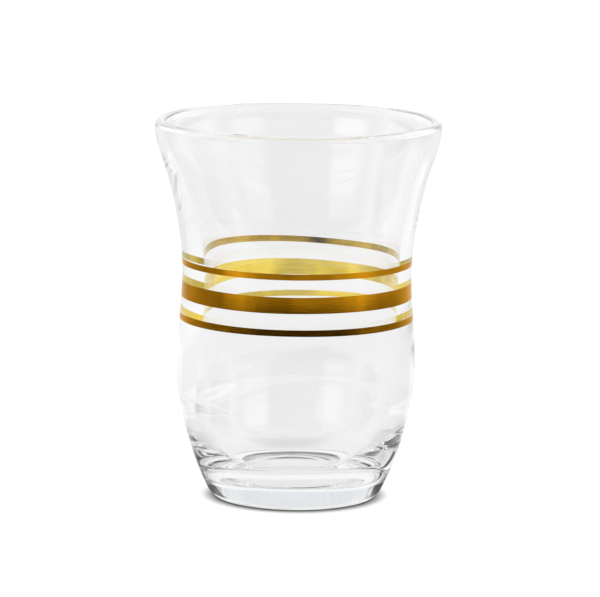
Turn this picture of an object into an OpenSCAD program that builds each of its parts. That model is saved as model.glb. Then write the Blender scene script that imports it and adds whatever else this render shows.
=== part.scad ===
// Small footless tea glass with a swelling body, a waist, a flared mouth and three fired gold lines.
// Millimetres. Z runs up the middle of the glass and the table is at zero.
// A height is measured up from the table and a width is a diameter, unless its comment says otherwise.
// A lean is how far the wall moves outwards for each unit that it rises.

/* [Outside] */
// Height of the whole glass
height = 88; // [84:0.5:94]
// Width of the lip at its widest
rim_d = 66; // [63:0.5:70]
// Width of the flare where it opens fastest
flare_d = 59.5; // [57:0.5:62]
// How far that place lies under the widest place of the lip
flare_drop = 12.4; // [9:0.1:15]
// Lean of the wall there
flare_lean = 0.257; // [0.2:0.01:0.32]
// Width of the waist
waist_d = 53; // [52:0.25:54]
// Height of the waist
waist_h = 52.2; // [50:0.5:56]
// Width of the belly
belly_d = 55.5; // [54.5:0.25:57.5]
// Height of the belly
belly_h = 30; // [28:0.5:34]
// Width of the shoulder under the belly
shoulder_d = 52; // [51:0.25:53]
// Height of the shoulder
shoulder_h = 18.7; // [17:0.5:21]
// Lean of the wall at the shoulder
shoulder_lean = 0.19; // [0.12:0.01:0.26]
// Width of the foot just above its rounded corner
foot_d = 40.7; // [39:0.1:42.5]
// Height of the rounded corner of the foot
foot_corner_h = 2.2; // [1.5:0.1:3.5]
// Lean of the wall just above that corner
foot_lean = 0.51; // [0.35:0.01:0.6]

/* [Lip] */
// Thickness of the lip at its widest
lip_w = 2.5; // [1.8:0.1:3.2]
// How far the rounded lip rises above its widest place
lip_rise = 1.6; // [0.9:0.1:2.4]

/* [Inside] */
// Wall thickness in the flare
flare_wall = 2.8; // [2:0.1:3.4]
// Wall thickness at the waist
waist_wall = 3.7; // [2.8:0.1:4.4]
// Wall thickness at the belly
belly_wall = 4.7; // [3.8:0.1:5.4]
// Wall thickness where the inside starts to round in towards the floor
well_wall = 4.6; // [3.8:0.1:5.4]
// How much thinner the wall gets from the waist to the flare for each unit that it rises
wall_taper = 0.038; // [0:0.002:0.07]
// Height at which the inside starts to round in towards the floor
well_h = 24; // [22:0.5:26]
// Width of the low dome in the middle of the floor inside
floor_d = 19; // [16:0.5:24]
// Height of the lowest place of the floor, which runs round that dome
floor_h = 5.8; // [5:0.1:7.5]
// How far the dome stands up from there
floor_rise = 0.5; // [0.2:0.1:1.5]
// How full the rounding in to the floor is, where 1 is a plain oval and less is squarer
well_corner_share = 1; // [0.7:0.01:1.2]

/* [Underside] */
// How far the rounded corner of the foot tucks in to the ring that the glass stands on
foot_tuck = 2.85; // [2:0.05:4]
// Width of the flat of that ring
ring_w = 3.4; // [2:0.1:5]
// Depth of the hollow inside the ring
hollow_h = 2.4; // [0.8:0.1:3]

/* [Gold lines] */
// How far the top edge of the broad band lies under the waist
broad_band_drop = 1.4; // [0:0.1:3]
// Height of the broad band from edge to edge
broad_band_w = 3.7; // [2.4:0.1:4.6]
// Bare glass between the broad band and the upper thin line
upper_gap = 3.9; // [2:0.1:5]
// Height of the upper thin line from edge to edge
upper_line_w = 1.4; // [0.8:0.1:2.4]
// Bare glass between the broad band and the lower thin line
lower_gap = 3.7; // [2:0.1:5]
// Height of the lower thin line from edge to edge
lower_line_w = 1.5; // [0.8:0.1:2.4]
// Thickness of the fired gold film
film = 0.08; // [0.05:0.01:0.2]
// Clearance between the film and the glass
film_seat = 0.04; // [0.03:0.01:0.06]

/* [Smoothness] */
// Straight steps along each stretch of the wall
wall_steps = 16; // [8:1:24]
// Straight steps round the lip, the foot corner and the bottom of the inside
round_steps = 14; // [8:1:24]
// Straight sides shown round the glass
turn_sides = 144; // [48:12:240]

/* [Hidden] */

lip_h = height - lip_rise;
flare_h = lip_h - flare_drop;
ring_d = foot_d - 2 * foot_tuck;
ring_in_d = ring_d - 2 * ring_w;
broad_band_h = waist_h - broad_band_drop - broad_band_w;
upper_line_h = broad_band_h + broad_band_w + upper_gap;
lower_line_h = broad_band_h - lower_gap - lower_line_w;
glass_tint = [0.86, 0.93, 0.92, 0.45];
gold_tint = [0.83, 0.6, 0.16];

// Places on the outside, from the foot up, each as a height, a radius and a lean
outside_places = [
    [foot_corner_h, foot_d / 2, foot_lean],
    [shoulder_h, shoulder_d / 2, shoulder_lean],
    [belly_h, belly_d / 2, 0],
    [waist_h, waist_d / 2, 0],
    [flare_h, flare_d / 2, flare_lean],
    [lip_h, rim_d / 2, 0]
];

// Thickness of the wall from where the inside starts to round in up to the lip, and how it changes there
wall_places = [
    [well_h, well_wall, 0],
    [belly_h, belly_wall, 0],
    [waist_h, waist_wall, -wall_taper],
    [flare_h, flare_wall, -wall_taper],
    [lip_h, lip_w, 0]
];

// Radius at height z on the cubic curve that joins place a to place b with their leans
function joined(a, b, z) =
    let(run = b[0] - a[0], t = (z - a[0]) / run)
    (1 + 2 * t) * pow(1 - t, 2) * a[1] + t * pow(1 - t, 2) * run * a[2]
    + pow(t, 2) * (3 - 2 * t) * b[1] - pow(t, 2) * (1 - t) * run * b[2];

// Radius or thickness at height z on the line that runs through the places
function along(places, z, i = 0) =
    i < len(places) - 2 && z > places[i + 1][0]
        ? along(places, z, i + 1)
        : joined(places[i], places[i + 1], z);

// Heights of the places with even steps between them
function stepped(places) = [
    for (i = [0 : len(places) - 2], k = [0 : wall_steps - 1])
        places[i][0] + (places[i + 1][0] - places[i][0]) * k / wall_steps,
    places[len(places) - 1][0]
];

// The numbers of a list in rising order
function rising(v) =
    len(v) < 2 ? v
    : let(pivot = v[floor(len(v) / 2)])
        concat(
            rising([for (x = v) if (x < pivot) x]),
            [pivot],
            rising([for (x = v) if (x > pivot) x])
        );

// Point at share t of a curve that leaves a towards bend and arrives at b from it
function bent(a, bend, b, t) = pow(1 - t, 2) * a + 2 * t * (1 - t) * bend + pow(t, 2) * b;

// Edges of the gold lines, where the outside also gets a step so that the film follows it
line_edges = [
    lower_line_h, lower_line_h + lower_line_w,
    broad_band_h, broad_band_h + broad_band_w,
    upper_line_h, upper_line_h + upper_line_w
];
outside_heights = rising(concat(stepped(outside_places), line_edges));
inside_heights = stepped(wall_places);

// The rounded corner runs from the ring to the wall and leaves both without a kink
foot_corner = [
    for (k = [0 : round_steps - 1])
        bent(
            [ring_d / 2, 0],
            [foot_d / 2 - foot_lean * foot_corner_h, 0],
            [foot_d / 2, foot_corner_h],
            k / round_steps
        )
];

outer_wall = [for (z = outside_heights) [along(outside_places, z), z]];

// Half an oval from the outside over the top to the inside
lip_round = [
    for (k = [1 : round_steps - 1])
        let(turn = 180 * k / round_steps)
        [rim_d / 2 - lip_w / 2 + lip_w / 2 * cos(turn), lip_h + lip_rise * sin(turn)]
];

// The inside follows the outside at the thickness of the wall
inner_wall = [
    for (k = [len(inside_heights) - 1 : -1 : 0])
        let(z = inside_heights[k])
        [along(outside_places, z) - along(wall_places, z), z]
];

// A quarter of a squared oval from the wall of the inside to its floor
well_r = inner_wall[len(inner_wall) - 1][0];
well_corner = [
    for (k = [1 : round_steps])
        let(turn = 90 * k / round_steps)
        [
            floor_d / 2 + (well_r - floor_d / 2) * pow(cos(turn), well_corner_share),
            well_h - (well_h - floor_h) * pow(sin(turn), well_corner_share)
        ]
];

// The dome in the floor starts and ends level
floor_dome = [
    for (k = [round_steps - 1 : -1 : 0])
        let(share = k / round_steps)
        [floor_d / 2 * share, floor_h + floor_rise * pow(1 - pow(share, 2), 2)]
];

// The hollow under the base is a shallow dome
hollow = [
    for (k = [0 : round_steps])
        let(share = k / round_steps)
        [ring_in_d / 2 * share, hollow_h * (1 - pow(share, 2))]
];

// A film on the outside of the glass between two heights
module gold_film(bottom, width) {
    covered = [for (p = outer_wall) if (p[1] >= bottom && p[1] <= bottom + width) p];
    color(gold_tint)
        rotate_extrude($fn = turn_sides)
            polygon(concat(
                [for (p = covered) p + [film_seat, 0]],
                [for (k = [len(covered) - 1 : -1 : 0]) covered[k] + [film_seat + film, 0]]
            ));
}

module glass_body() {
    color(glass_tint)
        rotate_extrude($fn = turn_sides)
            polygon(concat(
                hollow,
                foot_corner,
                outer_wall,
                lip_round,
                inner_wall,
                well_corner,
                floor_dome
            ));
}

module upper_gold_line() {
    gold_film(upper_line_h, upper_line_w);
}

module middle_gold_band() {
    gold_film(broad_band_h, broad_band_w);
}

module lower_gold_line() {
    gold_film(lower_line_h, lower_line_w);
}

glass_body();
upper_gold_line();
middle_gold_band();
lower_gold_line();
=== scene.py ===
"""Looks of a small clear tea glass with three fired gold lines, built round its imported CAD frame."""

import math

import bpy
import numpy as np
from mathutils import Matrix, Vector


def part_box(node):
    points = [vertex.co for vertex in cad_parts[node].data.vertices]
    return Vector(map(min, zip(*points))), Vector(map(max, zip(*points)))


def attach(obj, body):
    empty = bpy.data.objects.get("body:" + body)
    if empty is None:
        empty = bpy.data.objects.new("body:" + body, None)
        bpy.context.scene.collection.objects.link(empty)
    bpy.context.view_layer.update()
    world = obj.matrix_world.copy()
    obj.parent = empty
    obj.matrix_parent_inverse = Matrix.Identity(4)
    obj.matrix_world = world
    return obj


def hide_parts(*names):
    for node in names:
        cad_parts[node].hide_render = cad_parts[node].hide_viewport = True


bl_info = {
    "name": "Gold line tea glass",
    "version": (1, 0, 0),
    "blender": (4, 5, 0),
    "location": "3D View > Sidebar > Tea glass",
    "description": "Builds a clear tea glass with fired gold lines and its white studio",
    "category": "Add Mesh",
}

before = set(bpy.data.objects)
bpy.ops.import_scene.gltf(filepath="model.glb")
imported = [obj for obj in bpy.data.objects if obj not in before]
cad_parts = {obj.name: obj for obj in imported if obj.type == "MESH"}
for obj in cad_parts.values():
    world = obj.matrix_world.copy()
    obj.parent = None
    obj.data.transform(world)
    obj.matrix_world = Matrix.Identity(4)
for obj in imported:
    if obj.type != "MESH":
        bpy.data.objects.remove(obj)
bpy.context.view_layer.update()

BODY = "root"
MM = 0.001

# Points along each stretch of the outline of the glass
HOLLOW_POINTS = 17
FLAT_POINTS = 5
CORNER_POINTS = 19
OUTER_POINTS = 90
LIP_POINTS = 42
INNER_POINTS = 66
WELL_POINTS = 31
FLOOR_POINTS = 12

# Sides round the glass and round the gold, and rows up a gold line
GLASS_SIDES = 340
GOLD_SIDES = 360
GOLD_ROWS = 13

# Edges of the gold that turn more than this stay sharp
SHARP_ANGLE = math.radians(50)

# Seeds of the waves of the inside and of the lower and upper edge of the first gold line
POLISH_SEED = 7
LOW_EDGE_SEED = 20
HIGH_EDGE_SEED = 30

# Camera: sensor and focal length in millimetres, as Blender takes them, and what it sees in metres
SENSOR_W = 36.0
LENS = 252.0
CLIP_START = 0.05
CLIP_END = 20.0

# How often light may turn in all, and be mirrored, before it is lost
BOUNCES = 256
MIRROR_BOUNCES = 128


def cad_height(node, side):
    """Height of the bottom (side 0) or the top (side 1) of a node of the CAD frame."""
    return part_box(node)[side].z


def length(name, description, default):
    """A length in metres that a user may change."""
    return bpy.props.FloatProperty(
        name=name,
        description=description,
        default=default,
        precision=5,
        step=0.1,
        subtype="DISTANCE",
        unit="LENGTH",
    )


def share(name, description, default, top=1.0):
    """A plain number from nought to top."""
    return bpy.props.FloatProperty(
        name=name, description=description, default=default, min=0.0, max=top, precision=4
    )


def tilt(name, description, default):
    """An angle, whose default is given in degrees."""
    return bpy.props.FloatProperty(
        name=name, description=description, default=math.radians(default), subtype="ANGLE"
    )


def tint(name, description, default):
    """A linear colour."""
    return bpy.props.FloatVectorProperty(
        name=name,
        description=description,
        default=default,
        min=0.0,
        max=1.0,
        size=3,
        subtype="COLOR",
    )


class GlassSizes(bpy.types.PropertyGroup):
    """Sizes of the glass, as the CAD source has them, and how far its inside strays from true"""

    height: length("Height", "Height of the whole glass", cad_height("glass_body", 1))
    rim_d: length("Rim", "Width of the lip at its widest", 66 * MM)
    flare_d: length("Flare", "Width of the flare where it opens fastest", 59.5 * MM)
    flare_drop: length("Flare drop", "How far that place lies under the widest of the lip", 12.4 * MM)
    flare_lean: share("Flare lean", "How far the wall moves outwards there as it rises by one", 0.257)
    waist_d: length("Waist", "Width of the waist", 53 * MM)
    waist_h: length("Waist height", "Height of the waist", 52.2 * MM)
    belly_d: length("Belly", "Width of the belly", 55.5 * MM)
    belly_h: length("Belly height", "Height of the belly", 30 * MM)
    shoulder_d: length("Shoulder", "Width of the shoulder under the belly", 52 * MM)
    shoulder_h: length("Shoulder height", "Height of the shoulder", 18.7 * MM)
    shoulder_lean: share("Shoulder lean", "Lean of the wall at the shoulder", 0.19)
    foot_d: length("Foot", "Width of the foot just above its rounded corner", 40.7 * MM)
    foot_corner_h: length("Foot corner", "Height of the rounded corner of the foot", 2.2 * MM)
    foot_lean: share("Foot lean", "Lean of the wall just above that corner", 0.51)
    lip_w: length("Lip", "Thickness of the lip at its widest", 2.5 * MM)
    lip_rise: length("Lip rise", "How far the rounded lip rises above its widest place", 1.6 * MM)
    flare_wall: length("Flare wall", "Wall thickness in the flare", 2.8 * MM)
    waist_wall: length("Waist wall", "Wall thickness at the waist", 3.7 * MM)
    belly_wall: length("Belly wall", "Wall thickness at the belly", 4.7 * MM)
    well_wall: length("Well wall", "Wall thickness where the inside starts to round in", 4.6 * MM)
    wall_taper: share("Wall taper", "How much thinner the wall gets as it rises by one", 0.038)
    well_h: length("Well height", "Height at which the inside starts to round in", 24 * MM)
    floor_d: length("Floor", "Width of the low dome in the middle of the floor inside", 19 * MM)
    floor_h: length("Floor height", "Height of the floor's lowest place, round that dome", 5.8 * MM)
    floor_rise: length("Floor rise", "How far the dome stands up from there", 0.5 * MM)
    well_corner: share("Well corner", "Fullness of the rounding in to the floor, 1 for an oval", 1.0, 2.0)
    foot_tuck: length("Foot tuck", "How far the foot's corner tucks in to the ring under it", 2.85 * MM)
    ring_w: length("Ring", "Width of the flat of that ring", 3.4 * MM)
    hollow_h: length("Hollow", "Depth of the hollow inside the ring", 2.4 * MM)
    wave: length("Wave", "How far the fire polished inside strays from true", 0.05 * MM)
    waist_shift: length("Waist shift", "How far the inside stands off centre at the waist", 0.8 * MM)
    well_shift: length("Well shift", "How far the inside stands off centre at its floor", -0.8 * MM)


class GoldSizes(bpy.types.PropertyGroup):
    """Film of the fired gold lines"""

    film: length("Film", "How far the film stands out from the glass", 0.03 * MM)
    sink: length("Sink", "How far its back sinks into the glass, so that no air parts them", 0.01 * MM)
    ragged: length("Ragged edge", "How far the brushed edges stray", 0.06 * MM)
    # These two darken the upper line: its back by a share all round, and both sides in a spot on its far side
    # this far right
    dark_spot_x: length("Dark spot", "How far right the brush left the far side of the upper line", 4.8 * MM)
    upper_back_dim: share("Upper back dim", "Share of its colour that the back of the upper line lacks", 0.34)
    front_gold: tint("Face", "Colour of the burnished face", (0.74, 0.32, 0.008))
    back_gold: tint("Back", "Colour of the back, which is seen through the glass", (0.96, 0.71, 0.08))


class StudioSettings(bpy.types.PropertyGroup):
    """White table, tent and camera"""

    distance: length("Distance", "From the camera to the place that it looks at", 0.972)
    elevation: tilt("Elevation", "Angle of the camera above the table", 9.5)
    roll: tilt("Roll", "Turn of the camera about its own axis", 0.7)
    aim_x: length("Aim across", "Place that the camera looks at, to the right of the glass", 0.8 * MM)
    aim_z: length("Aim height", "Height of that place", 46.2 * MM)
    table_half: length("Table", "Half the side of the white table", 4.5)
    table_front: length("Table front", "How far the light part of the table reaches towards the camera", 0.47)


# Shapes


def wall_radius(places, z):
    """Radius at each height z of the wall through the places (height, radius, lean).

    Between two places it is the cubic that meets both radii and both leans.
    """
    places = np.asarray(places, float)
    at = np.clip(np.searchsorted(places[:, 0], z, side="right") - 1, 0, len(places) - 2)
    low_z, low_r, low_lean = places[at].T
    high_z, high_r, high_lean = places[at + 1].T
    run = high_z - low_z
    t = (z - low_z) / run
    return (
        (1 + 2 * t) * (1 - t) ** 2 * low_r
        + t * (1 - t) ** 2 * run * low_lean
        + t**2 * (3 - 2 * t) * high_r
        - t**2 * (1 - t) * run * high_lean
    )


def outside_places(s):
    """Places on the outside, from the foot up."""
    lip_h = s.height - s.lip_rise
    return [
        (s.foot_corner_h, s.foot_d / 2, s.foot_lean),
        (s.shoulder_h, s.shoulder_d / 2, s.shoulder_lean),
        (s.belly_h, s.belly_d / 2, 0),
        (s.waist_h, s.waist_d / 2, 0),
        (lip_h - s.flare_drop, s.flare_d / 2, s.flare_lean),
        (lip_h, s.rim_d / 2, 0),
    ]


def wall_places(s):
    """Thickness of the wall at places from where the inside starts to round in up to the lip."""
    lip_h = s.height - s.lip_rise
    return [
        (s.well_h, s.well_wall, 0),
        (s.belly_h, s.belly_wall, 0),
        (s.waist_h, s.waist_wall, -s.wall_taper),
        (lip_h - s.flare_drop, s.flare_wall, -s.wall_taper),
        (lip_h, s.lip_w, 0),
    ]


def glass_outline(s):
    """Outline of the glass as (radius, height), and 1 for each of its points on the inside, else 0.

    It runs from the middle of the underside over a parabola (the hollow), a level ring, a quadratic
    curve (the corner), the cubic wall, half an oval (the lip), the wall less its thickness and a quarter
    oval (the well) to the dome in the floor, whose height goes with (1 - share**2)**2 and ends level.
    """
    lip_h = s.height - s.lip_rise
    ring_r = s.foot_d / 2 - s.foot_tuck
    hollow_r = ring_r - s.ring_w
    even = np.linspace(0, 1, HOLLOW_POINTS)
    hollow = np.column_stack((hollow_r * even, s.hollow_h * (1 - even**2)))
    flat = np.column_stack((np.linspace(hollow_r, ring_r, FLAT_POINTS), np.zeros(FLAT_POINTS)))[1:-1]
    t = np.linspace(0, 1, CORNER_POINTS)[:-1, None]
    bend_r = s.foot_d / 2 - s.foot_lean * s.foot_corner_h
    corner = (
        (1 - t) ** 2 * np.array([ring_r, 0])
        + 2 * t * (1 - t) * np.array([bend_r, 0])
        + t**2 * np.array([s.foot_d / 2, s.foot_corner_h])
    )
    z = np.linspace(s.foot_corner_h, lip_h, OUTER_POINTS)
    outer = np.column_stack((wall_radius(outside_places(s), z), z))
    turn = np.linspace(0, np.pi, LIP_POINTS)[1:-1]
    lip = np.column_stack(
        (s.rim_d / 2 - s.lip_w / 2 + s.lip_w / 2 * np.cos(turn), lip_h + s.lip_rise * np.sin(turn))
    )
    z = np.linspace(lip_h, s.well_h, INNER_POINTS)
    inner = np.column_stack((wall_radius(outside_places(s), z) - wall_radius(wall_places(s), z), z))
    well_r = inner[-1, 0]
    turn = np.linspace(0, np.pi / 2, WELL_POINTS)[1:]
    floor_r = s.floor_d / 2
    well = np.column_stack(
        (
            floor_r + (well_r - floor_r) * np.cos(turn) ** s.well_corner,
            s.well_h - (s.well_h - s.floor_h) * np.sin(turn) ** s.well_corner,
        )
    )
    across = np.linspace(1, 0, FLOOR_POINTS)[1:]
    floor = np.column_stack((floor_r * across, s.floor_h + s.floor_rise * (1 - across**2) ** 2))
    outside = np.concatenate((hollow, flat, corner, outer, lip))
    inside = np.concatenate((inner, well, floor))
    on_inside = np.repeat((0.0, 1.0), (len(outside), len(inside)))
    return np.concatenate((outside, inside)), on_inside


def revolved(name, radius, height, closed, shift=0.0):
    """Surface of revolution from grids of radius and height.

    The grids have one row for each point of the outline and one column for each side. A point is
    (shift + radius cos a, radius sin a, height) with a the angle of its column. A closed outline joins
    its last row to its first. An open one starts and ends on the axis, where each end is one point.
    """
    rows, sides = radius.shape
    around = sides_of(sides)
    points = np.stack((radius * np.cos(around) + shift, radius * np.sin(around), height), axis=-1)
    column = np.arange(sides)
    following = (column + 1) % sides
    if closed:
        row = np.arange(rows)[:, None]
        above = (row + 1) % rows
        low, high = row * sides, above * sides
        corners = (low + column, low + following, high + following, high + column)
        faces = np.stack(corners, axis=-1).reshape(-1, 4).tolist()
        points = points.reshape(-1, 3)
    else:
        rings = rows - 2
        first = 1 + np.arange(rings - 1)[:, None] * sides
        corners = (first + column, first + following, first + sides + following, first + sides + column)
        quads = np.stack(corners, axis=-1).reshape(-1, 4)
        last = 1 + (rings - 1) * sides
        end = 1 + rings * sides
        start_fan = np.stack((np.zeros(sides, int), 1 + following, 1 + column), axis=-1)
        end_fan = np.stack((last + column, last + following, np.full(sides, end)), axis=-1)
        faces = quads.tolist() + start_fan.tolist() + end_fan.tolist()
        points = np.concatenate((points[0, :1], points[1:-1].reshape(-1, 3), points[-1, :1]))
    mesh = bpy.data.meshes.new(name)
    mesh.from_pydata(points, [], faces)
    mesh.polygons.foreach_set("use_smooth", np.ones(len(mesh.polygons), bool))
    mesh.update()
    piece = bpy.data.objects.new(name, mesh)
    bpy.context.scene.collection.objects.link(piece)
    return piece


def sides_of(count):
    """Angles of evenly spaced sides."""
    return np.linspace(0, 2 * np.pi, count, endpoint=False)


def waves(around, height, seed, count, size):
    """Sum of count seeded waves over the angle around and the height, mostly between -1 and 1.

    Each is sin(lobes around + phase) sin(pitch height + phase), with 1 to 5 lobes and 0.3 to 1 radian
    to each size of height, and the sum is divided by the root of their number.
    """
    draw = np.random.default_rng(seed)
    total = np.zeros(np.broadcast(around, height).shape)
    for _ in range(count):
        lobes = draw.integers(1, 6)
        pitch = draw.uniform(0.3, 1.0) / size
        phase = draw.uniform(0, 2 * np.pi, 2)
        total += np.sin(lobes * around + phase[0]) * np.sin(pitch * height + phase[1])
    return total / math.sqrt(count)


def gold_heights(node, ragged, number):
    """Heights over a gold line, with a row for each step up it and a column for each side.

    They go evenly from its lower to its upper edge, which stray from the CAD frame's by seeded waves.
    """
    around = sides_of(GOLD_SIDES)
    low_stray = waves(around, np.zeros(1), LOW_EDGE_SEED + number, count=12, size=1.0)
    high_stray = waves(around, np.zeros(1), HIGH_EDGE_SEED + number, count=12, size=1.0)
    low_edge = cad_height(node, 0) + ragged * low_stray
    high_edge = cad_height(node, 1) + ragged * high_stray
    up = np.linspace(0, 1, GOLD_ROWS)[:, None]
    return low_edge * (1 - up) + high_edge * up


# Materials

WHITE = (1.0, 1.0, 1.0, 1.0)
BLACK = (0.0, 0.0, 0.0, 1.0)


def new_material(name):
    """A material with an empty node tree."""
    material = bpy.data.materials.new(name)
    material.use_nodes = True
    material.node_tree.nodes.clear()
    return material


def degrees(*angles):
    """Angles in degrees as Blender takes them."""
    return [math.radians(angle) for angle in angles]


class Graph:
    """Adds and joins nodes of one tree."""

    def __init__(self, tree):
        self.tree = tree

    def node(self, kind, links=None, **settings):
        """A new node with its settings, and with its inputs set or joined."""
        made = self.tree.nodes.new(kind)
        for key, value in settings.items():
            setattr(made, key, value)
        for socket, source in (links or {}).items():
            self.set(made.inputs[socket], source)
        return made

    def set(self, socket, source):
        """Joins an input to a socket or to the first output of a node, or sets it to a value."""
        if isinstance(source, bpy.types.NodeSocket):
            self.tree.links.new(source, socket)
        elif isinstance(source, bpy.types.Node):
            self.tree.links.new(source.outputs[0], socket)
        else:
            socket.default_value = source

    def math(self, operation, *values, clamp=False):
        """Result of one step of arithmetic."""
        links = dict(enumerate(values))
        return self.node("ShaderNodeMath", links, operation=operation, use_clamp=clamp).outputs[0]

    def product(self, *values):
        """All the values multiplied."""
        total = values[0]
        for value in values[1:]:
            total = self.math("MULTIPLY", total, value)
        return total

    def without(self, value):
        """What the value leaves of 1."""
        return self.math("SUBTRACT", 1.0, value)

    def within(self, value, low, high):
        """1 where the value lies between low and high, else 0."""
        return self.product(self.math("GREATER_THAN", value, low), self.math("LESS_THAN", value, high))

    def smooth(self, value, low, high, start=0.0, end=1.0):
        """Eases from start to end as the value goes from low to high."""
        return self.node(
            "ShaderNodeMapRange",
            {"Value": value, "From Min": low, "From Max": high, "To Min": start, "To Max": end},
            interpolation_type="SMOOTHSTEP",
        ).outputs[0]

    def band(self, value, start, full, fading, end):
        """Eases from 0 at start to 1 at full, and from 1 at fading back to 0 at end."""
        return self.product(self.smooth(value, start, full), self.smooth(value, fading, end, 1.0, 0.0))

    def ramp(self, value, stops):
        """Eases through stops of value and level, which rise in value."""
        low, high = stops[0][0], stops[-1][0]
        place = self.node("ShaderNodeMapRange", {"Value": value, "From Min": low, "From Max": high})
        made = self.node("ShaderNodeValToRGB", {"Fac": place})
        made.color_ramp.interpolation = "EASE"
        marks = made.color_ramp.elements
        for at, level in stops[1:-1]:
            marks.new((at - low) / (high - low)).color = (level, level, level, 1.0)
        marks[0].color = (stops[0][1],) * 3 + (1.0,)
        marks[len(marks) - 1].color = (stops[-1][1],) * 3 + (1.0,)
        return made.outputs[0]

    def mix(self, share_of_last, first, last):
        """Number that goes from the first to the last one with the share of the last."""
        made = self.node("ShaderNodeMix", {"Factor": share_of_last}, data_type="FLOAT")
        self.set(made.inputs[2], first)
        self.set(made.inputs[3], last)
        return made.outputs[0]

    def mix_colours(self, share_of_last, first, last):
        """Colour that goes from the first to the last one with the share of the last."""
        made = self.node("ShaderNodeMix", {"Factor": share_of_last}, data_type="RGBA")
        self.set(made.inputs[6], first)
        self.set(made.inputs[7], last)
        return made.outputs[2]


def glass_material():
    """Clear soda glass with a trace of green."""
    material = new_material("clear_glass")
    g = Graph(material.node_tree)
    glass = g.node(
        "ShaderNodeBsdfPrincipled",
        {"Base Color": WHITE, "Roughness": 0.0, "IOR": 1.52, "Transmission Weight": 1.0},
    )
    green = g.node("ShaderNodeVolumeAbsorption", {"Color": (0.90, 0.97, 0.94, 1.0), "Density": 1.2})
    g.node("ShaderNodeOutputMaterial", {"Surface": glass, "Volume": green})
    return material


# The gold is darkest this near to the middle of the dark spot on the upper line, and of full tone again this
# far from it
SPOT_NEAR = 0.5 * MM
SPOT_FAR = 3.5 * MM
# Share of the full colour that the darkest place still has
DARKEST_SHARE = 0.05


def gold_tone_share(g, place, upper_back_dim, dark_spot_x):
    """Share of the gold's full colour that each place has.

    The upper line lacks a set share of it all round on the back material, and more in a spot on its far side,
    to the right of the middle.
    """
    axes = g.node("ShaderNodeSeparateXYZ", {0: place}).outputs
    bare_middle = (cad_height("middle_gold_band", 1) + cad_height("upper_gold_line", 0)) / 2
    upper = g.math("GREATER_THAN", axes["Z"], bare_middle)
    from_spot = g.math("ABSOLUTE", g.math("SUBTRACT", axes["X"], dark_spot_x))
    far_side = g.math("GREATER_THAN", axes["Y"], 0.0)
    dark_spot = g.product(g.smooth(from_spot, SPOT_NEAR, SPOT_FAR, 0.5, 0.0), far_side)
    tone_share = g.without(g.product(upper, g.math("ADD", dark_spot, upper_back_dim)))
    return g.math("MAXIMUM", tone_share, DARKEST_SHARE)


# Counts of mirrors inside the wall between which the gold's painted glow is cut hard or in part: painted
# shade that draws the lip's thin lines
PAINTED_DARK_MIRRORS = ((13.5, 14.5), (15.5, 18.5))
PAINTED_DUSKY_MIRRORS = (19.5, 24.5)


def mirrored_painted_glow(g):
    """Whether light was mirrored inside the wall before it met the gold, and the strength of the pale painted
    glow that the gold then gives off instead of its colour.

    Its true colour would brown the lip, which is clear but for thin grey lines; those lines are painted
    shade, where the glow is cut at some counts of mirrors.
    """
    mirrors = g.node("ShaderNodeLightPath").outputs["Glossy Depth"]
    guided = g.math("GREATER_THAN", mirrors, 1.5)
    dark = g.math("ADD", *(g.within(mirrors, low, high) for low, high in PAINTED_DARK_MIRRORS))
    dusky = g.within(mirrors, *PAINTED_DUSKY_MIRRORS)
    painted_gloom = g.math("ADD", g.product(dark, 0.8), g.product(dusky, 0.45))
    return guided, g.product(guided, g.without(painted_gloom))


def gold_material(name, colour, roughness, dim, upper_back_dim, dark_spot_x):
    """Fired gold: a thin metal film with faint brush streaks round the glass and darker patches.

    The patches are as dark as dim.
    """
    material = new_material(name)
    g = Graph(material.node_tree)
    place = g.node("ShaderNodeTexCoord").outputs["Object"]
    squeezed = g.node("ShaderNodeMapping", {"Vector": place, "Scale": (1.0, 1.0, 30.0)})
    streaks = g.node(
        "ShaderNodeTexNoise", {"Vector": squeezed, "Scale": 160.0, "Detail": 3.0, "Roughness": 0.6}
    ).outputs[0]
    patches = g.node("ShaderNodeTexNoise", {"Vector": place, "Scale": 85.0, "Detail": 2.0}).outputs[0]
    cloud = g.node(
        "ShaderNodeTexNoise", {"Vector": place, "Scale": 120.0, "Detail": 4.0, "Roughness": 0.6}
    ).outputs[0]
    shade = g.product(
        g.smooth(streaks, 0.3, 0.7, 0.9, 1.04),
        g.smooth(patches, 0.32, 0.62, dim, 1.1),
        gold_tone_share(g, place, upper_back_dim, dark_spot_x),
    )
    tone = g.node("ShaderNodeVectorMath", {0: (*colour,), "Scale": shade}, operation="SCALE")
    # Painted light: after mirrors inside the wall the gold's colour turns black and it glows pale grey
    # instead
    guided, glow = mirrored_painted_glow(g)
    metal = g.node(
        "ShaderNodeBsdfPrincipled",
        {
            "Base Color": g.mix_colours(guided, tone, BLACK),
            "Metallic": 1.0,
            "Roughness": g.smooth(cloud, 0.3, 0.7, roughness * 0.7, roughness * 1.4),
            "Normal": g.node("ShaderNodeBump", {"Height": streaks, "Strength": 0.12, "Distance": 0.05 * MM}),
            "Specular Tint": (1.0, 0.86, 0.6, 1.0),
            "Emission Color": (0.84, 0.85, 0.86, 1.0),
            "Emission Strength": glow,
        },
    )
    g.node("ShaderNodeOutputMaterial", {"Surface": metal})
    return material


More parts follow.
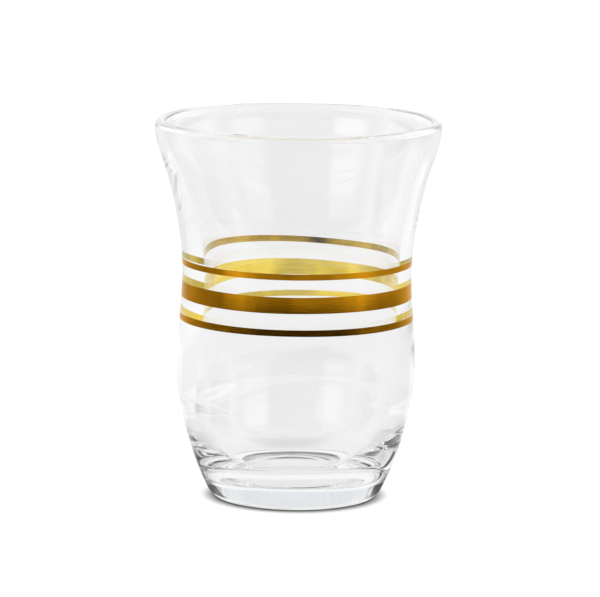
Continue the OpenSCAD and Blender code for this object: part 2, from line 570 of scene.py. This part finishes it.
# Painted light on the table, which only a first mirror on the glass sees, and which gives the glass its
# upright soft stripes:
# bearing in degrees, where 0 is towards the camera, and level
PAINTED_LIGHT_ROUND = (
    (-180, 1.0), (-165, 0.9), (-149, 0.78), (-134, 0.65), (-118, 0.55), (-100, 0.44),
    (-80, 0.45), (-68, 0.8), (-55, 1.0), (-45, 0.8), (-36, 0.45), (-20, 0.36), (-8, 0.36),
    (0, 0.52), (10, 0.55), (30, 0.52), (42, 0.6), (53, 0.8), (65, 1.0), (77, 0.72),
    (92, 0.55), (118, 0.52), (134, 0.65), (149, 0.78), (165, 0.9), (180, 1.0),
)
# How that painted light falls off: metres from the middle of the glass, and level
PAINTED_LIGHT_POOL = ((0.0, 1.0), (0.3, 1.0), (0.6, 0.65), (0.85, 0.3), (1.1, 0.03))
# Painted levels of the table behind the glass as later mirrors see it: metres from the middle of the glass,
# and level
PAINTED_ZONES = ((0.0, 0.85), (0.1, 0.82), (0.16, 0.96), (0.25, 0.96), (0.29, 0.88), (0.7, 0.88))
# The same level for the rest of the table, and the glow that it stands for
TABLE_LEVEL = 0.85
TABLE_GLOW = 0.81
# Half the width of the soft edge at the front of its painted light part, beyond which mirrors see the table
# dark
TABLE_EDGE = 30 * MM

# Rings round the glass, by the radii where each starts, is full, starts to fade and ends.
# The first paints shadow on the table beside the glass, the second paints shadow behind it, and the third
# paints light on it further off.
PAINTED_FLANK_SHADOW_RADII = (16 * MM, 20 * MM, 45 * MM, 60 * MM)
PAINTED_BACK_SHADOW_RADII = (17 * MM, 27 * MM, 31 * MM, 44 * MM)
PAINTED_LIGHT_RADII = (260 * MM, 330 * MM, 420 * MM, 580 * MM)
# How far to the left and right of the glass that painted light starts and is full
PAINTED_LIGHT_ASIDE = (45 * MM, 62 * MM)


def seen_share(g, path):
    """1 for what the camera sees straight or through glass without a mirror on the way, else 0."""
    mirrored = g.math("GREATER_THAN", path["Glossy Depth"], 0.5)
    diffuse = g.math("GREATER_THAN", path["Diffuse Depth"], 0.5)
    return g.math("SUBTRACT", 1.0, g.math("ADD", mirrored, diffuse, clamp=True), clamp=True)


def table_with_painted_light(front):
    """Matt white table that keeps the shadow of the glass in its matt part, and whose glow is white to the
    eye but for a painted shadow where the foot meets it.

    Mirrors on the glass see its painted light part end at the front, where the dark room starts, and see
    painted pools of light and painted shadow rings on it.
    """
    material = new_material("white_table_painted_light")
    g = Graph(material.node_tree)
    place = g.node("ShaderNodeTexCoord").outputs["Object"]
    axes = g.node("ShaderNodeSeparateXYZ", {0: place}).outputs
    away = g.node("ShaderNodeVectorMath", {0: place}, operation="LENGTH").outputs["Value"]
    bearing = g.math("ARCTAN2", axes["X"], g.math("MULTIPLY", axes["Y"], -1.0))
    aside = g.math("ABSOLUTE", bearing)
    path = g.node("ShaderNodeLightPath").outputs
    first_mirror = g.math("LESS_THAN", path["Transmission Depth"], 0.5)
    seen = seen_share(g, path)

    # Painted light: how light each place is, the whole table to the eye, and painted pools of light to
    # mirrors
    behind = g.smooth(aside, *degrees(118, 140))
    painted_pool = g.math("MAXIMUM", g.ramp(away, PAINTED_LIGHT_POOL), behind)
    around = g.ramp(bearing, [(math.radians(at), level) for at, level in PAINTED_LIGHT_ROUND])
    close_behind = g.product(behind, g.smooth(away, 0.24, 0.32, 1.0, 0.0))
    painted_patch = g.math("MAXIMUM", g.product(painted_pool, around), close_behind)
    painted_light_part = g.smooth(axes["Y"], -front - TABLE_EDGE, -front + TABLE_EDGE)
    painted_lit = g.math("MAXIMUM", g.mix(first_mirror, painted_light_part, painted_patch), seen)

    # Painted shadow rings beside the glass, which mirrors see, and behind it, which the eye sees through the
    # glass
    painted_flank_shadow = g.product(
        g.band(aside, *degrees(68, 84, 112, 128)),
        g.band(away, *PAINTED_FLANK_SHADOW_RADII),
        g.math("ADD", 0.15, g.product(first_mirror, 0.75)),
    )
    painted_back_shadow = g.product(g.band(away, *PAINTED_BACK_SHADOW_RADII), g.smooth(aside, *degrees(150, 174), 0.0, 0.17))
    shade = g.mix(seen, painted_flank_shadow, painted_back_shadow)

    # Painted glow through the glass and in its mirrors, with a painted ring of light further off, and to the
    # eye, where a painted shadow from ambient occlusion darkens only where the foot meets the table
    off_middle = g.smooth(g.math("ABSOLUTE", axes["X"]), *PAINTED_LIGHT_ASIDE, 0.0, 0.09)
    painted_light_lift = g.product(g.band(away, *PAINTED_LIGHT_RADII), off_middle, seen)
    unseen_behind = g.product(g.without(seen), g.smooth(aside, *degrees(108, 124)))
    level = g.mix(unseen_behind, g.math("ADD", TABLE_LEVEL, painted_light_lift), g.ramp(away, PAINTED_ZONES))
    ambient_occlusion = g.node("ShaderNodeAmbientOcclusion", {"Distance": 3.8 * MM}, samples=12).outputs["AO"]
    painted_contact_shadow = g.product(g.smooth(ambient_occlusion, 0.05, 0.8), 0.95)
    painted_glow_through_glass = g.product(g.without(shade), level, TABLE_GLOW / TABLE_LEVEL)
    glow = g.product(painted_lit, g.mix(path["Is Camera Ray"], painted_glow_through_glass, painted_contact_shadow))

    grain = g.node("ShaderNodeTexNoise", {"Vector": place, "Scale": 60.0, "Detail": 3.0}).outputs[0]
    white = g.smooth(grain, 0.2, 0.8, 0.16, 0.18)
    paint = g.node("ShaderNodeCombineColor", {0: white, 1: white, 2: white})
    # The matt colour too is painted near black where mirrors see the table's painted light end
    matt = g.node("ShaderNodeBsdfDiffuse", {"Color": g.mix_colours(painted_lit, (0.03, 0.03, 0.03, 1.0), paint)})
    # This glow carries the painted light and painted shadows above; only the weak matt part is lit for real
    painted_glow_shader = g.node("ShaderNodeEmission", {"Color": WHITE, "Strength": glow})
    g.node("ShaderNodeOutputMaterial", {"Surface": g.node("ShaderNodeAddShader", {0: matt, 1: painted_glow_shader})})
    return material


# Light of the soft boxes, where 1 is the white of the tent
BOX_LEVEL = 1.3
# Trace of blue in the tent behind the glass
COOL_WHITE = (0.80, 0.83, 0.86, 1.0)


def tent_light(g, bearing, rise, path):
    """Light of the studio by bearing, where 0 is towards the camera, and by rise above the table.

    Wings, cards, side panels and one soft box change with how often light was bent or mirrored in the glass.
    """
    aside = g.math("ABSOLUTE", bearing)
    right = g.math("GREATER_THAN", bearing, 0.0)
    passes = path["Transmission Depth"]
    guided = g.math("GREATER_THAN", path["Glossy Depth"], 1.5)
    twice = g.within(passes, 1.5, 2.5)
    four_times = g.within(passes, 3.5, 4.5)

    dark_room = g.product(
        g.smooth(aside, *degrees(62, 88), 1.0, 0.0),
        g.smooth(rise, *degrees(40, 54), 1.0, 0.0),
        g.smooth(rise, *degrees(8, 16), 0.97, 0.78),
    )
    dark_wings = g.product(
        g.band(aside, *degrees(84, 93, 122, 134)),
        g.smooth(rise, *degrees(24, 34), 1.0, 0.0),
        g.math("GREATER_THAN", passes, 0.5),
        0.9,
    )
    ceiling = g.smooth(rise, *degrees(52, 64), 0.0, 0.75)
    floor_card = g.product(four_times, g.math("ADD", 0.3, g.product(right, 0.65)))
    base_card = g.product(
        twice,
        g.smooth(aside, *degrees(150, 168), 0.25, 0.0),
        g.math("MAXIMUM", right, g.smooth(aside, *degrees(80, 90))),
    )
    cards = g.product(guided, g.math("ADD", floor_card, base_card))
    tent = g.product(g.without(dark_room), g.without(dark_wings), g.without(ceiling), g.without(cards))

    boxes = g.product(
        g.band(aside, *degrees(28, 38, 56, 72)),
        g.band(rise, *degrees(4, 9, 24, 30)),
        g.without(g.product(twice, right, 0.75)),
        BOX_LEVEL,
    )
    side_panels = g.product(
        g.band(aside, *degrees(82, 94, 132, 148)),
        g.smooth(rise, *degrees(30, 45), 0.6, 0.0),
        g.math("LESS_THAN", passes, 0.5),
    )
    return g.math("ADD", g.math("ADD", tent, boxes), side_panels)


def studio_world():
    """White tent behind, beside and above, a dark room in front, and two soft boxes at its sides."""
    world = bpy.data.worlds.new("studio")
    bpy.context.scene.world = world
    world.use_nodes = True
    world.node_tree.nodes.clear()
    g = Graph(world.node_tree)
    way = g.node("ShaderNodeTexCoord").outputs["Generated"]
    axes = g.node("ShaderNodeSeparateXYZ", {0: way}).outputs
    bearing = g.math("ARCTAN2", axes["X"], g.math("MULTIPLY", axes["Y"], -1.0))
    rise = g.math("ARCSINE", axes["Z"])
    path = g.node("ShaderNodeLightPath").outputs
    direct = path["Is Camera Ray"]
    backdrop = g.product(
        g.smooth(g.math("ABSOLUTE", bearing), *degrees(95, 130)),
        g.band(rise, *degrees(8, 13, 24, 45)),
        g.math("LESS_THAN", path["Glossy Depth"], 0.5),
    )
    colour = g.mix_colours(direct, g.mix_colours(backdrop, WHITE, COOL_WHITE), WHITE)
    strength = g.mix(direct, tent_light(g, bearing, rise, path), 1.0)
    back = g.node("ShaderNodeBackground", {"Color": colour, "Strength": strength})
    g.node("ShaderNodeOutputWorld", {"Surface": back})


# Operators


class TEAGLASS_OT_glass_body(bpy.types.Operator):
    """Build the clear glass as one closed surface of revolution"""

    bl_idname = "teaglass.glass_body"
    bl_label = "Glass body"

    def execute(self, context):
        s = context.scene.tea_glass_sizes
        outline, inside = glass_outline(s)
        stray = waves(sides_of(GLASS_SIDES), outline[:, 1:], POLISH_SEED, count=9, size=12 * MM)
        off_dome = outline[:, :1] > s.floor_d / 2
        radius = outline[:, :1] + s.wave * stray * inside[:, None] * off_dome
        height = np.broadcast_to(outline[:, 1:], radius.shape)
        lip_h = s.height - s.lip_rise
        shift_places = [(s.floor_h, s.well_shift, 0), (s.waist_h, s.waist_shift, 0), (lip_h, 0, 0)]
        shift = wall_radius(shift_places, np.clip(outline[:, 1], s.floor_h, lip_h)) * inside
        piece = revolved("clear_glass_body", radius, height, closed=False, shift=shift[:, None])
        piece.data.materials.append(glass_material())
        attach(piece, BODY)
        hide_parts("glass_body")
        return {"FINISHED"}


class TEAGLASS_OT_gold_lines(bpy.types.Operator):
    """Build the three fired gold lines on the outside of the glass"""

    bl_idname = "teaglass.gold_lines"
    bl_label = "Gold lines"

    def execute(self, context):
        s = context.scene.tea_glass_sizes
        gold = context.scene.tea_glass_gold
        face = gold_material(
            "gold_face",
            gold.front_gold,
            roughness=0.09,
            dim=0.8,
            upper_back_dim=0.0,
            dark_spot_x=gold.dark_spot_x,
        )
        back = gold_material(
            "gold_back",
            gold.back_gold,
            roughness=0.1,
            dim=0.7,
            upper_back_dim=gold.upper_back_dim,
            dark_spot_x=gold.dark_spot_x,
        )
        for number, node in enumerate(("upper_gold_line", "middle_gold_band", "lower_gold_line")):
            z = gold_heights(node, gold.ragged, number)
            wall = wall_radius(outside_places(s), z.ravel()).reshape(z.shape)
            radius = np.concatenate((wall + gold.film, (wall - gold.sink)[::-1]))
            height = np.concatenate((z, z[::-1]))
            piece = revolved("fired_" + node, radius, height, closed=True)
            piece.data.materials.append(face)
            piece.data.materials.append(back)
            # The rows of faces are the face of the line, its top edge, its back and its bottom edge
            slots = np.zeros(len(piece.data.polygons), np.int32)
            slots[GOLD_ROWS * GOLD_SIDES : (2 * GOLD_ROWS - 1) * GOLD_SIDES] = 1
            piece.data.polygons.foreach_set("material_index", slots)
            piece.data.set_sharp_from_angle(angle=SHARP_ANGLE)
            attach(piece, BODY)
            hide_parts(node)
        return {"FINISHED"}


class TEAGLASS_OT_studio(bpy.types.Operator):
    """Build the white table, the light of the studio and the camera"""

    bl_idname = "teaglass.studio"
    bl_label = "Studio"

    def execute(self, context):
        s = context.scene.tea_glass_studio
        half = s.table_half
        corners = [(-half, -half, 0), (half, -half, 0), (half, half, 0), (-half, half, 0)]
        mesh = bpy.data.meshes.new("table")
        mesh.from_pydata(corners, [], [(0, 1, 2, 3)])
        table = bpy.data.objects.new("table", mesh)
        context.scene.collection.objects.link(table)
        table.data.materials.append(table_with_painted_light(s.table_front))
        studio_world()
        data = bpy.data.cameras.new("camera")
        data.sensor_width = SENSOR_W
        data.lens = LENS
        data.clip_start = CLIP_START
        data.clip_end = CLIP_END
        camera = bpy.data.objects.new("camera", data)
        context.scene.collection.objects.link(camera)
        back = Vector((0, -math.cos(s.elevation), math.sin(s.elevation)))
        aim = Vector((s.aim_x, 0, s.aim_z))
        turned = (-back).to_track_quat("-Z", "Y").to_matrix() @ Matrix.Rotation(s.roll, 3, "Z")
        camera.matrix_world = Matrix.Translation(aim + back * s.distance) @ turned.to_4x4()
        context.scene.camera = camera
        context.scene.view_settings.view_transform = "Standard"
        context.scene.cycles.max_bounces = BOUNCES
        context.scene.cycles.glossy_bounces = MIRROR_BOUNCES
        context.scene.cycles.transmission_bounces = BOUNCES
        return {"FINISHED"}


class TEAGLASS_PT_sidebar(bpy.types.Panel):
    """Sizes, colours and builders of the tea glass"""

    bl_label = "Tea glass"
    bl_space_type = "VIEW_3D"
    bl_region_type = "UI"
    bl_category = "Tea glass"

    def draw(self, context):
        for name, group in SETTINGS.items():
            box = self.layout.box()
            for setting in group.__annotations__:
                box.prop(getattr(context.scene, name), setting)
        for operator in OPERATORS:
            self.layout.operator(operator.bl_idname)


SETTINGS = {
    "tea_glass_sizes": GlassSizes,
    "tea_glass_gold": GoldSizes,
    "tea_glass_studio": StudioSettings,
}
OPERATORS = (TEAGLASS_OT_studio, TEAGLASS_OT_glass_body, TEAGLASS_OT_gold_lines)


def register():
    for group in SETTINGS.values():
        bpy.utils.register_class(group)
    for operator in OPERATORS:
        bpy.utils.register_class(operator)
    bpy.utils.register_class(TEAGLASS_PT_sidebar)
    for name, group in SETTINGS.items():
        setattr(bpy.types.Scene, name, bpy.props.PointerProperty(type=group))


def unregister():
    for name in SETTINGS:
        delattr(bpy.types.Scene, name)
    for made in (TEAGLASS_PT_sidebar, *OPERATORS, *SETTINGS.values()):
        bpy.utils.unregister_class(made)


def main():
    register()
    bpy.ops.teaglass.studio()
    bpy.ops.teaglass.glass_body()
    bpy.ops.teaglass.gold_lines()


if __name__ == "__main__":
    main()
